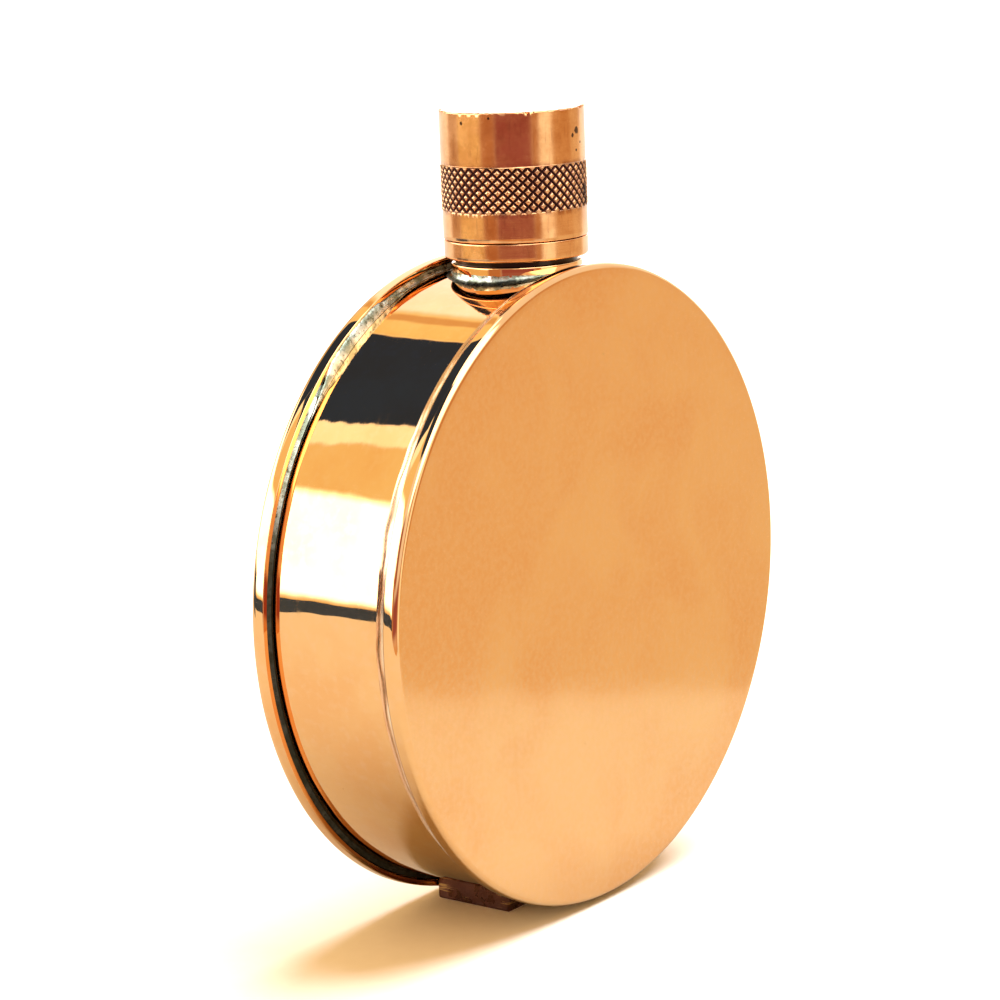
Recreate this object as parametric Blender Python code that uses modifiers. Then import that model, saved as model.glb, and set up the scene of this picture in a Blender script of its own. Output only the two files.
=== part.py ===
"""Round copper pocket flask with a knurled screw cap.

The drum is a band of sheet closed by two pressed covers, soldered along their lips.
A turned spout is soldered into the top of the band, and the cap screws on to it.
Metres, +Z up. The drum lies along Y with its front cover at -Y, and the neck is on the
Z axis. The flask stands on its foot, at z = 0.
"""

import math

import bmesh
import bpy

# Driving dimensions
GAP = 0.0003                    # space kept between pieces that touch
SHEET = 0.0009                  # thickness of the copper sheet
DEPTH = 0.0282                  # front face to back face
WALL_RADIUS = 0.0502            # outside of the band
BACK_RADIUS = 0.0522            # the back cover is pressed a little larger than the front
FRONT_LIP = 0.0025              # how far each cover's lip reaches from its face
BACK_LIP = 0.0030
FRONT_CORNER = 0.0011
BACK_CORNER = 0.0014
CAP_RADIUS = 0.01145
SPOUT_BORE = 0.0063
PITCH = 0.0025                  # of the M18 neck thread, right-handed
KNURL_COUNT = 45                # diamonds round the cap

# Heights above the drum's axis
COLLAR_TOP = 0.05175
FLANGE_BOTTOM = 0.0525
FLANGE_TOP = 0.0553
KNURL_BOTTOM = 0.0604
KNURL_TOP = 0.0672
CAP_TOP = 0.0758

# The drum
AXIS_HEIGHT = BACK_RADIUS + 0.0001
HALF_DEPTH = DEPTH / 2
WALL_INSIDE = WALL_RADIUS - SHEET
FRONT_RADIUS = WALL_RADIUS + GAP + SHEET
BAND_HALF = HALF_DEPTH - SHEET - GAP
ON_WALL = WALL_RADIUS + GAP     # inner radius of whatever lies on the band
BEAD_RADIUS = 0.0513
FRONT_EDGE = HALF_DEPTH - FRONT_LIP
BACK_EDGE = HALF_DEPTH - BACK_LIP
BEAD_FRONT = FRONT_EDGE - GAP
BEAD_BACK = BACK_EDGE - GAP
FILLET_WIDTH = 0.0023           # of the front bead, along the band
BEAD_WIDTH = 0.0009             # of the back bead
SEAM_WIDTH = 0.004              # of the band's own seam, round its circumference
SEAM_HEIGHT = 0.0005
FILLET_TOE = 0.0002             # thickness of the front bead at its thin end
BEAD_TOE = 0.0003
LEAST_BEND = 0.0002             # smallest inside radius of a cover's corner

# The foot
FOOT_HALF_WIDTH = 0.0135
FOOT_FRONT = -0.0037            # it reaches from here back to the back cover's lip
FOOT_CUT_HEIGHT = 0.006
FOOT_REBATE_PAST = 0.002        # the rebate's cutter runs this far past the foot

# The neck
SHANK_RADIUS = 0.0084
SHANK_BOTTOM = 0.0469
HOLE_RADIUS = SHANK_RADIUS + GAP
SEAT_RADIUS = 0.0098            # step under the flange, on the collar
COLLAR_RADIUS = 0.0104
NECK_BEAD_RADIUS = 0.0112
NECK_BEAD_HEIGHT = 0.0009
RING_LOW = 0.048                # rings round the neck are turned between these heights,
RING_HIGH = 0.053               # then trimmed to the band
PIERCE_LOW = 0.044              # a cutter between these heights goes right through the band
PIERCE_HIGH = 0.056
FLANGE_RADIUS = CAP_RADIUS - 0.00005   # a hair under the cap
FLANGE_CHAMFER = 0.0004
SPOUT_CHAMFER = 0.0004
COLLAR_CHAMFER = 0.0002
EDGE_BREAK = 0.0001             # on the turned pieces' other edges

# The cap and the thread
CAP_BOTTOM = FLANGE_TOP + GAP
CAP_CHAMFER = 0.0003
CROWN = 0.0035                  # thickness of the cap's top
CAVITY_RADIUS = 0.0106
CAVITY_TOP = CAP_TOP - CROWN
SEAL_THICKNESS = 0.0025
SEAL_TOP = CAVITY_TOP - GAP
SEAL_BOTTOM = SEAL_TOP - SEAL_THICKNESS
SPOUT_TOP = SEAL_BOTTOM - GAP
INSERT_RADIUS = CAVITY_RADIUS - GAP
INSERT_BORE = 0.00935
SEAL_RADIUS = INSERT_RADIUS - 0.0001      # free to slip in the cap
CREST_RADIUS = 0.0090
ROOT_RADIUS = 0.0081
INSERT_CREST = 0.0085
RIDGE_OVERLAP = 0.0003          # how far a thread ridge is sunk into its tube
NECK_RIDGE = (0.0007, 0.00025)  # half widths at the foot and at the crest
INSERT_RIDGE = (0.0006, 0.0002)
THREAD_START = FLANGE_TOP + 0.00145
THREAD_TURNS = 3.75
INSERT_TURNS = 3.5
KNURL_PROUD = 0.0001
KNURL_RELIEF = 0.0002           # plain strip above and below the knurl
KNURL_DEPTH = 0.0003
KNURL_ROWS = 9                  # half rows, one between each pair of diamond tips

DRUM_STEPS = 90
NECK_STEPS = 40
THREAD_STEPS = 20

COPPER = ((0.93, 0.55, 0.33), 0.16, 1.0)
SATIN_COPPER = ((0.90, 0.53, 0.31), 0.30, 1.0)
TURNED_COPPER = ((0.80, 0.42, 0.22), 0.28, 1.0)
DARK_COPPER = ((0.36, 0.18, 0.11), 0.40, 1.0)
COPPER_FILLET = ((0.88, 0.56, 0.38), 0.32, 1.0)
SOLDER = ((0.72, 0.73, 0.69), 0.35, 1.0)
BRASS = ((0.78, 0.60, 0.30), 0.30, 1.0)
RUBBER = ((0.05, 0.045, 0.04), 0.80, 0.0)


def clear_scene():
    for old in list(bpy.data.objects):
        bpy.data.objects.remove(old)


def new_collection(name):
    group = bpy.data.collections.new(name)
    bpy.context.scene.collection.children.link(group)
    return group


def put_in(obj, group):
    for old in list(obj.users_collection):
        old.objects.unlink(obj)
    group.objects.link(obj)


def finish_with(obj, look):
    colour, roughness, metallic = look
    material = bpy.data.materials.new(obj.name)
    material.use_nodes = True
    shader = material.node_tree.nodes["Principled BSDF"]
    shader.inputs["Base Color"].default_value = (*colour, 1.0)
    shader.inputs["Roughness"].default_value = roughness
    shader.inputs["Metallic"].default_value = metallic
    obj.data.materials.append(material)


def arc(centre_r, centre_z, radius, start_deg, end_deg, count):
    """Points along an arc in the (r, z) plane, angles counted from +r towards +z."""
    points = []
    for i in range(count + 1):
        angle = math.radians(start_deg + (end_deg - start_deg) * i / count)
        points.append((centre_r + radius * math.cos(angle), centre_z + radius * math.sin(angle)))
    return points


def outline_object(name, outline, closed):
    mesh = bpy.data.meshes.new(name)
    last = len(outline)
    edges = [(i, i + 1) for i in range(last - 1)]
    if closed:
        edges.append((last - 1, 0))
    mesh.from_pydata([(r, 0.0, z) for r, z in outline], edges, [])
    obj = bpy.data.objects.new(name, mesh)
    PARTS.objects.link(obj)
    return obj


def turned(name, outline, steps, closed=True, angle=2 * math.pi, turns=1, rise=0.0):
    """A turned piece. The outline runs down the outer side first, then up the inner side."""
    obj = outline_object(name, outline, closed)
    screw = obj.modifiers.new("turn", "SCREW")
    screw.axis = "Z"
    screw.angle = angle
    screw.steps = steps
    screw.render_steps = steps
    screw.iterations = turns
    screw.screw_offset = rise
    screw.use_merge_vertices = rise == 0.0 and angle == 2 * math.pi
    screw.merge_threshold = 0.00001
    return obj


def apply_modifiers(obj):
    depsgraph = bpy.context.evaluated_depsgraph_get()
    mesh = bpy.data.meshes.new_from_object(obj.evaluated_get(depsgraph))
    obj.modifiers.clear()
    obj.data = mesh


def close_ends(obj):
    """Fills the open ends that a part turn or a helix leaves, and turns every face outwards."""
    apply_modifiers(obj)
    work = bmesh.new()
    work.from_mesh(obj.data)
    bmesh.ops.holes_fill(work, edges=work.edges, sides=0)
    bmesh.ops.recalc_face_normals(work, faces=work.faces)
    work.to_mesh(obj.data)
    work.free()


def lay_along_y(obj):
    """The drum's pieces are turned about their own Z, which lies along the drum's axis."""
    obj.rotation_euler = (-math.pi / 2, 0.0, 0.0)
    obj.location = (0.0, 0.0, AXIS_HEIGHT)


def stand_on_axis(obj):
    obj.location = (0.0, 0.0, AXIS_HEIGHT)


def smooth(obj):
    obj.data.shade_smooth()
    obj.data.set_sharp_from_angle(angle=math.radians(35))


def cutter(obj, name):
    obj.name = name
    obj.hide_render = True
    obj.display_type = "WIRE"
    put_in(obj, CUTTERS)
    return obj


def drum_cutter(name, radius, low_y, high_y):
    bpy.ops.mesh.primitive_cylinder_add(
        vertices=2 * DRUM_STEPS, radius=radius, depth=high_y - low_y,
        location=(0.0, (low_y + high_y) / 2, AXIS_HEIGHT), rotation=(math.pi / 2, 0.0, 0.0))
    return cutter(bpy.context.object, name)


def neck_cutter(name, radius, low_z, high_z):
    bpy.ops.mesh.primitive_cylinder_add(
        vertices=NECK_STEPS, radius=radius, depth=high_z - low_z,
        location=(0.0, 0.0, AXIS_HEIGHT + (low_z + high_z) / 2))
    return cutter(bpy.context.object, name)


def boolean(obj, other, operation):
    step = obj.modifiers.new(other.name, "BOOLEAN")
    step.operation = operation
    step.solver = "EXACT"
    step.object = other


def side_wall():
    """The band, pierced at the top for the spout."""
    outline = [
        (WALL_RADIUS, BAND_HALF),
        (WALL_RADIUS, -BAND_HALF),
        (WALL_INSIDE, -BAND_HALF),
        (WALL_INSIDE, BAND_HALF),
    ]
    obj = turned("side_wall", outline, DRUM_STEPS)
    lay_along_y(obj)
    boolean(obj, neck_cutter("spout_hole", HOLE_RADIUS, PIERCE_LOW, PIERCE_HIGH), "DIFFERENCE")
    return obj


def cover(name, radius, lip, corner, side):
    """A pressed disc with a short lip. side is -1 for the front cover and +1 for the back."""
    inner = max(corner - SHEET, LEAST_BEND)
    face = HALF_DEPTH
    edge = HALF_DEPTH - lip
    outline = [(0.0, face)]
    outline += arc(radius - corner, face - corner, corner, 90, 0, 4)
    outline += [(radius, edge), (radius - SHEET, edge)]
    outline += arc(radius - SHEET - inner, face - SHEET - inner, inner, 0, 90, 1)
    outline += [(0.0, face - SHEET)]
    if side < 0:
        outline = [(r, -z) for r, z in reversed(outline)]
    obj = turned(name, outline, DRUM_STEPS, closed=False)
    lay_along_y(obj)
    return obj


def front_seam_solder():
    """Sloping fillet between the front cover's lip and the band, broken at the neck."""
    outline = [
        (ON_WALL + FILLET_TOE, -BEAD_FRONT + FILLET_WIDTH),
        (BEAD_RADIUS, -BEAD_FRONT),
        (ON_WALL, -BEAD_FRONT),
        (ON_WALL, -BEAD_FRONT + FILLET_WIDTH),
    ]
    obj = turned("front_seam_solder", outline, DRUM_STEPS)
    lay_along_y(obj)
    return obj


def back_seam_solder():
    """Bead against the back cover's lip. It also fills the space between lip and band."""
    under_lip = BACK_RADIUS - SHEET - GAP
    outline = [
        (ON_WALL, BAND_HALF),
        (under_lip, BAND_HALF),
        (under_lip, BEAD_BACK),
        (BEAD_RADIUS, BEAD_BACK),
        (BEAD_RADIUS, BEAD_BACK - 0.5 * BEAD_WIDTH),
        (ON_WALL + BEAD_TOE, BEAD_BACK - BEAD_WIDTH),
        (ON_WALL, BEAD_BACK - BEAD_WIDTH),
    ]
    obj = turned("back_seam_solder", outline, DRUM_STEPS)
    lay_along_y(obj)
    return obj


def wall_seam_solder():
    """Run of solder inside the band, along the joint of its two ends, above the foot."""
    outside = WALL_INSIDE - GAP
    outline = [
        (outside, BAND_HALF - GAP),
        (outside, -BAND_HALF + GAP),
        (outside - SEAM_HEIGHT, -BAND_HALF + GAP),
        (outside - SEAM_HEIGHT, BAND_HALF - GAP),
    ]
    span = SEAM_WIDTH / WALL_INSIDE
    obj = turned("wall_seam_solder", outline, 4, angle=span)
    close_ends(obj)
    lay_along_y(obj)
    obj.rotation_euler.rotate_axis("Z", math.pi / 2 - span / 2)
    return obj


def base_foot():
    """Saddle block under the band, up to the back lip, rebated where it spans the back bead."""
    low = (-FOOT_HALF_WIDTH, FOOT_FRONT, 0.0)
    high = (FOOT_HALF_WIDTH, BEAD_BACK, FOOT_CUT_HEIGHT)
    centre = [(a + b) / 2 for a, b in zip(low, high)]
    bpy.ops.mesh.primitive_cube_add(size=1.0, location=centre)
    obj = bpy.context.object
    obj.name = "base_foot"
    obj.scale = [b - a for a, b in zip(low, high)]
    bpy.ops.object.transform_apply(location=False, rotation=False, scale=True)
    put_in(obj, PARTS)
    back_end = BEAD_BACK - BEAD_WIDTH - GAP
    relief = BEAD_RADIUS + GAP
    boolean(obj, SADDLE, "DIFFERENCE")
    boolean(obj, drum_cutter("foot_rebate", relief, back_end, high[1] + FOOT_REBATE_PAST), "DIFFERENCE")
    return obj


def ridge(name, foot_radius, crest_radius, half_widths, start, turns):
    """One helical thread ridge, to be joined to a tube: right-handed, rising by PITCH a turn."""
    base_half, crest_half = half_widths
    outline = [
        (foot_radius, start + base_half),
        (crest_radius, start + crest_half),
        (crest_radius, start - crest_half),
        (foot_radius, start - base_half),
    ]
    if crest_radius < foot_radius:
        outline.reverse()
    whole = math.ceil(turns)
    share = turns / whole
    obj = turned(name, outline, round(THREAD_STEPS * share), angle=2 * math.pi * share,
                 turns=whole, rise=PITCH * share)
    close_ends(obj)
    stand_on_axis(obj)
    return cutter(obj, name)


def neck_spout():
    """Turned spout: shank through the band, flange that the cap closes against, threaded nozzle."""
    outline = [
        (SPOUT_BORE + SPOUT_CHAMFER, SPOUT_TOP),
        (ROOT_RADIUS - SPOUT_CHAMFER, SPOUT_TOP),
        (ROOT_RADIUS, SPOUT_TOP - SPOUT_CHAMFER),
        (ROOT_RADIUS, FLANGE_TOP),
        (FLANGE_RADIUS - EDGE_BREAK, FLANGE_TOP),
        (FLANGE_RADIUS, FLANGE_TOP - EDGE_BREAK),
    ]
    outline += arc(FLANGE_RADIUS - FLANGE_CHAMFER, FLANGE_BOTTOM + FLANGE_CHAMFER,
                   FLANGE_CHAMFER, 0, -90, 3)
    outline += [
        (SEAT_RADIUS, FLANGE_BOTTOM),
        (SEAT_RADIUS, COLLAR_TOP + GAP),
        (SHANK_RADIUS, COLLAR_TOP + GAP),
        (SHANK_RADIUS, SHANK_BOTTOM),
        (SPOUT_BORE, SHANK_BOTTOM),
        (SPOUT_BORE, SPOUT_TOP - SPOUT_CHAMFER),
    ]
    obj = turned("neck_spout", outline, NECK_STEPS)
    stand_on_axis(obj)
    thread = ridge("neck_thread", ROOT_RADIUS - RIDGE_OVERLAP, CREST_RADIUS, NECK_RIDGE,
                   THREAD_START, THREAD_TURNS)
    boolean(obj, thread, "UNION")
    return obj


def neck_collar():
    """Ring that stiffens the hole. Its underside is a saddle that sits on the band."""
    outline = [
        (HOLE_RADIUS, COLLAR_TOP),
        (COLLAR_RADIUS - COLLAR_CHAMFER, COLLAR_TOP),
        (COLLAR_RADIUS, COLLAR_TOP - COLLAR_CHAMFER),
        (COLLAR_RADIUS, RING_LOW),
        (HOLE_RADIUS, RING_LOW),
    ]
    obj = turned("neck_collar", outline, NECK_STEPS)
    stand_on_axis(obj)
    boolean(obj, SADDLE, "DIFFERENCE")
    return obj


def neck_solder():
    """Bead round the collar. It follows the band's curve and stops short of the back cover's lip."""
    outline = [
        (COLLAR_RADIUS + GAP, RING_HIGH),
        (NECK_BEAD_RADIUS, RING_HIGH),
        (NECK_BEAD_RADIUS, RING_LOW),
        (COLLAR_RADIUS + GAP, RING_LOW),
    ]
    obj = turned("neck_solder", outline, NECK_STEPS)
    stand_on_axis(obj)
    over = drum_cutter("neck_bead_top", ON_WALL + NECK_BEAD_HEIGHT, -HALF_DEPTH, BEAD_BACK)
    boolean(obj, over, "INTERSECT")
    boolean(obj, SADDLE, "DIFFERENCE")
    return obj


def knurl(obj):
    """Sinks every second point of the band's grid, which leaves rows of four-sided points."""
    apply_modifiers(obj)
    work = bmesh.new()
    work.from_mesh(obj.data)
    half_row = (KNURL_TOP - KNURL_BOTTOM) / KNURL_ROWS
    step = math.pi / KNURL_COUNT
    sunk = set()
    band = set()
    for vert in work.verts:
        row = (vert.co.z - KNURL_BOTTOM) / half_row
        radius = math.hypot(vert.co.x, vert.co.y)
        if radius < CAP_RADIUS or not -0.1 < row < KNURL_ROWS + 0.1:
            continue
        column = math.atan2(vert.co.y, vert.co.x) / step
        band.add(vert)
        if (round(row) + round(column)) % 2:
            sunk.add(vert)
    squares = [face for face in work.faces if len(face.verts) == 4 and band.issuperset(face.verts)]
    for face in squares:
        low = [v for v in face.verts if v in sunk]
        bmesh.utils.face_split(face, low[0], low[1])
    for vert in sunk:
        shrink = 1.0 - KNURL_DEPTH / (CAP_RADIUS + KNURL_PROUD)
        vert.co.x *= shrink
        vert.co.y *= shrink
    work.to_mesh(obj.data)
    work.free()


def cap_shell():
    """Turned cap with a knurled grip band."""
    rows = [(CAP_RADIUS + KNURL_PROUD, KNURL_TOP + (KNURL_BOTTOM - KNURL_TOP) * i / KNURL_ROWS)
            for i in range(KNURL_ROWS + 1)]
    outline = [
        (0.0, CAP_TOP),
        (CAP_RADIUS - CAP_CHAMFER, CAP_TOP),
        (CAP_RADIUS, CAP_TOP - CAP_CHAMFER),
        (CAP_RADIUS - EDGE_BREAK, KNURL_TOP + KNURL_RELIEF),
    ]
    outline += rows
    outline += [
        (CAP_RADIUS - EDGE_BREAK, KNURL_BOTTOM - KNURL_RELIEF),
        (CAP_RADIUS, CAP_BOTTOM + EDGE_BREAK),
        (CAP_RADIUS - EDGE_BREAK, CAP_BOTTOM),
        (CAVITY_RADIUS, CAP_BOTTOM),
        (CAVITY_RADIUS, CAVITY_TOP),
        (0.0, CAVITY_TOP),
    ]
    obj = turned("cap_shell", outline, 2 * KNURL_COUNT, closed=False)
    knurl(obj)
    return obj


def cap_thread_insert():
    """Threaded bush soldered into the shell. Its top edge also keeps the seal in."""
    outline = [
        (INSERT_RADIUS, SPOUT_TOP),
        (INSERT_RADIUS, CAP_BOTTOM),
        (INSERT_BORE, CAP_BOTTOM),
        (INSERT_BORE, SPOUT_TOP),
    ]
    obj = turned("cap_thread_insert", outline, NECK_STEPS)
    stand_on_axis(obj)
    thread = ridge("insert_thread", INSERT_BORE + RIDGE_OVERLAP, INSERT_CREST, INSERT_RIDGE,
                   THREAD_START + PITCH / 2, INSERT_TURNS)
    boolean(obj, thread, "UNION")
    return obj


def cap_seal():
    outline = [
        (0.0, SEAL_TOP),
        (SEAL_RADIUS, SEAL_TOP),
        (SEAL_RADIUS, SEAL_BOTTOM),
        (0.0, SEAL_BOTTOM),
    ]
    return turned("cap_seal", outline, NECK_STEPS, closed=False)


clear_scene()
PARTS = new_collection("copper_flask")
CUTTERS = new_collection("cutters")
SADDLE = drum_cutter("saddle", ON_WALL, -HALF_DEPTH, HALF_DEPTH)

wall = side_wall()
front = cover("front_cover", FRONT_RADIUS, FRONT_LIP, FRONT_CORNER, -1)
back = cover("back_cover", BACK_RADIUS, BACK_LIP, BACK_CORNER, 1)
front_bead = front_seam_solder()
back_bead = back_seam_solder()
round_neck = neck_cutter("neck_clearance", NECK_BEAD_RADIUS + GAP, PIERCE_LOW, PIERCE_HIGH)
boolean(front_bead, round_neck, "DIFFERENCE")
boolean(back_bead, round_neck, "DIFFERENCE")
wall_bead = wall_seam_solder()
foot = base_foot()
spout = neck_spout()
collar = neck_collar()
neck_bead = neck_solder()

shell = cap_shell()
stand_on_axis(shell)
insert = cap_thread_insert()
seal = cap_seal()
stand_on_axis(seal)

cap_axis = bpy.data.objects.new("cap_axis", None)
PARTS.objects.link(cap_axis)
for piece in (shell, insert, seal):
    piece.parent = cap_axis

for piece in (wall, collar):
    finish_with(piece, COPPER)
for piece in (front, back):
    finish_with(piece, SATIN_COPPER)
for piece in (spout, shell):
    finish_with(piece, TURNED_COPPER)
for piece in (back_bead, wall_bead, neck_bead):
    finish_with(piece, SOLDER)
finish_with(foot, DARK_COPPER)
finish_with(front_bead, COPPER_FILLET)
finish_with(insert, BRASS)
finish_with(seal, RUBBER)
for piece in (wall, front, back, front_bead, back_bead, wall_bead, foot, spout, collar,
              neck_bead, insert, seal):
    smooth(piece)
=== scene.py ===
"""Looks of the copper pocket flask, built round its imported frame.

Metres, +Z up. The drum lies along Y with its front cover at -Y, and the neck and cap stand on
the Z axis. Directions round the object are azimuths in degrees: 0 is +Y and 90 is +X.
"""

import math

import bmesh
import bpy
from mathutils import Matrix, Vector, noise


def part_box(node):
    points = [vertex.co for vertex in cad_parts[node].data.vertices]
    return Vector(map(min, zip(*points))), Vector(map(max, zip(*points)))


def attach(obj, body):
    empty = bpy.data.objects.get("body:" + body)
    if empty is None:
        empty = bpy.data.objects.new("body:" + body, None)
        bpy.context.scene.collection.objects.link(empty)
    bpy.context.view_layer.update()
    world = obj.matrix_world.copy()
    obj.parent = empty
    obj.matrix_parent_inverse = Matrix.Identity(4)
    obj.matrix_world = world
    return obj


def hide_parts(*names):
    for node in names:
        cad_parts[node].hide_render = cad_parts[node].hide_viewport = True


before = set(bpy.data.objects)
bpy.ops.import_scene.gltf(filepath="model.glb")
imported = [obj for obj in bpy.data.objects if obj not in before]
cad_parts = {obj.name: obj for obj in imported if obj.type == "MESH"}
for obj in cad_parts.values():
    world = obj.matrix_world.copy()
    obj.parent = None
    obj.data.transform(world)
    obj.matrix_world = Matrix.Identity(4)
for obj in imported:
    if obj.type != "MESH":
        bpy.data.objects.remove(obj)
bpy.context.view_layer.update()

MM = 0.001


def half_width(node):
    low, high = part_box(node)
    return (high[0] - low[0]) / 2


def reach(node, axis):
    """Lowest and highest place of a node along one axis."""
    low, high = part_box(node)
    return low[axis], high[axis]


# The drum, from the frame
FACE_Y = reach("front_cover", 1)[0]
BACK_Y = reach("back_cover", 1)[1]
AXIS_Z = sum(reach("front_cover", 2)) / 2
WALL_R = half_width("side_wall")
WALL_Y = reach("side_wall", 1)[1]
FRONT_R = half_width("front_cover")
BACK_R = half_width("back_cover")
FRONT_EDGE_Y = reach("front_cover", 1)[1]
BACK_EDGE_Y = reach("back_cover", 1)[0]
FILLET_Y = reach("front_seam_solder", 1)[1]
SHEET = 0.9 * MM
FRONT_CORNER = 1.1 * MM
BACK_CORNER = 1.7 * MM
FRONT_BURNISH = 0.06 * MM
BACK_BURNISH = 0.08 * MM
POOLED = (15, 27, 38, 52)       # the back bead is full between the middle two of these degrees off the top

# The foot
FOOT_X = half_width("base_foot")
FOOT_FRONT_Y, FOOT_BACK_Y = reach("base_foot", 1)

# The neck and the cap
COLLAR_R = half_width("neck_collar")
COLLAR_TOP = reach("neck_collar", 2)[1]
NECK_BEAD_R = half_width("neck_solder")
NECK_BEAD_TOP = COLLAR_TOP - 1.30 * MM
SPOUT_BOTTOM, SPOUT_TOP = reach("neck_spout", 2)
FLANGE_R = half_width("neck_spout")
FLANGE_BOTTOM = COLLAR_TOP + 0.75 * MM
FLANGE_TOP = FLANGE_BOTTOM + 2.95 * MM
SHANK_R = 8.4 * MM
SEAT_R = 9.8 * MM
BORE_R = 6.3 * MM
ROOT_R = 8.1 * MM
CREST_R = 9.0 * MM
PITCH = 2.5 * MM
THREAD_START = FLANGE_TOP + 1.45 * MM
THREAD_TURNS = 3.75
CAP_BOTTOM, CAP_TOP = reach("cap_shell", 2)
CAP_R = 11.45 * MM
CAVITY_R = 10.6 * MM
CROWN = 3.5 * MM
INSERT_R = half_width("cap_thread_insert")
INSERT_BORE_R = 9.35 * MM
INSERT_CREST_R = 8.5 * MM
INSERT_TOP = reach("cap_thread_insert", 2)[1]
INSERT_TURNS = 3.5
SEAL_R = half_width("cap_seal")
SEAL_BOTTOM, SEAL_TOP = reach("cap_seal", 2)

# The knurl
KNURL_COUNT = 45
KNURL_BOTTOM = AXIS_Z + 60.4 * MM
KNURL_TOP = AXIS_Z + 67.2 * MM
KNURL_ROW = (KNURL_TOP - KNURL_BOTTOM) / 4.5
KNURL_CREST_R = CAP_R + 0.10 * MM
KNURL_DEPTH = 0.30 * MM
KNURL_STEPS = 16                # mesh steps across one diamond

# ---------------------------------------------------------------- mesh helpers


def compass(azimuth):
    angle = math.radians(azimuth)
    return Vector((math.sin(angle), math.cos(angle), 0.0))


def drum_place(radius, along, angle):
    """angle counts from +Z towards +X."""
    return Vector((radius * math.sin(angle), along, AXIS_Z + radius * math.cos(angle)))


def neck_place(radius, along, angle):
    """angle counts from +X towards +Y."""
    return Vector((radius * math.cos(angle), radius * math.sin(angle), along))


def bend(centre_r, centre_a, radius, start_deg, end_deg, count):
    points = []
    for i in range(count + 1):
        angle = math.radians(start_deg + (end_deg - start_deg) * i / count)
        points.append((centre_r + radius * math.cos(angle), centre_a + radius * math.sin(angle)))
    return points


def run(start, end, gap):
    """Points from start up to, but not including, end, no more than gap apart."""
    length = math.dist(start, end)
    count = max(1, math.ceil(length / gap))
    return [tuple(a + (b - a) * i / count for a, b in zip(start, end)) for i in range(count)]


def smoothstep(low, high, value):
    share = min(1.0, max(0.0, (value - low) / (high - low)))
    return share * share * (3 - 2 * share)


def waves(place, size, seed=0.0):
    """Smooth noise from about -1 to 1, with bumps of about that size."""
    return noise.noise(place / size + Vector((seed, seed * 0.7, -seed)))


def new_piece(name, work, sharp_deg=50):
    """Turns a bmesh into an object that is shaded smooth but for its real edges."""
    bmesh.ops.recalc_face_normals(work, faces=work.faces)
    mesh = bpy.data.meshes.new(name)
    work.to_mesh(mesh)
    work.free()
    mesh.shade_smooth()
    mesh.set_sharp_from_angle(angle=math.radians(sharp_deg))
    obj = bpy.data.objects.new(name, mesh)
    bpy.context.scene.collection.objects.link(obj)
    return obj


def turned(name, outline, steps, place, offset=None, sharp_deg=50):
    """A closed turned piece. Outline points of no radius become one vertex, and an outline without
    them closes on itself. offset(radius, along, angle) gives small moves of radius and along."""
    work = bmesh.new()
    rings = []
    for radius, along in outline:
        if radius == 0:
            rings.append([work.verts.new(place(0.0, along, 0.0))])
            continue
        ring = []
        for j in range(steps):
            angle = 2 * math.pi * j / steps
            more_r, more_a = offset(radius, along, angle) if offset else (0.0, 0.0)
            ring.append(work.verts.new(place(radius + more_r, along + more_a, angle)))
        rings.append(ring)
    pairs = list(zip(rings, rings[1:]))
    if len(rings[0]) > 1:
        pairs.append((rings[-1], rings[0]))
    for low, high in pairs:
        for j in range(steps):
            k = (j + 1) % steps
            corners = [low[j % len(low)], low[k % len(low)], high[k % len(high)], high[j % len(high)]]
            work.faces.new(list(dict.fromkeys(corners)))
    return new_piece(name, work, sharp_deg)


def carve(obj, cutter):
    """Cuts one mesh out of another for good."""
    step = obj.modifiers.new("cut", "BOOLEAN")
    step.operation = "DIFFERENCE"
    step.solver = "EXACT"
    step.object = cutter
    depsgraph = bpy.context.evaluated_depsgraph_get()
    mesh = bpy.data.meshes.new_from_object(obj.evaluated_get(depsgraph))
    obj.modifiers.clear()
    obj.data = mesh
    bpy.data.objects.remove(cutter)


def finish_piece(obj, body, nodes, materials):
    for material in materials:
        obj.data.materials.append(material)
    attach(obj, body)
    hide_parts(*nodes)
    return obj


# ------------------------------------------------------------ material helpers


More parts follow.
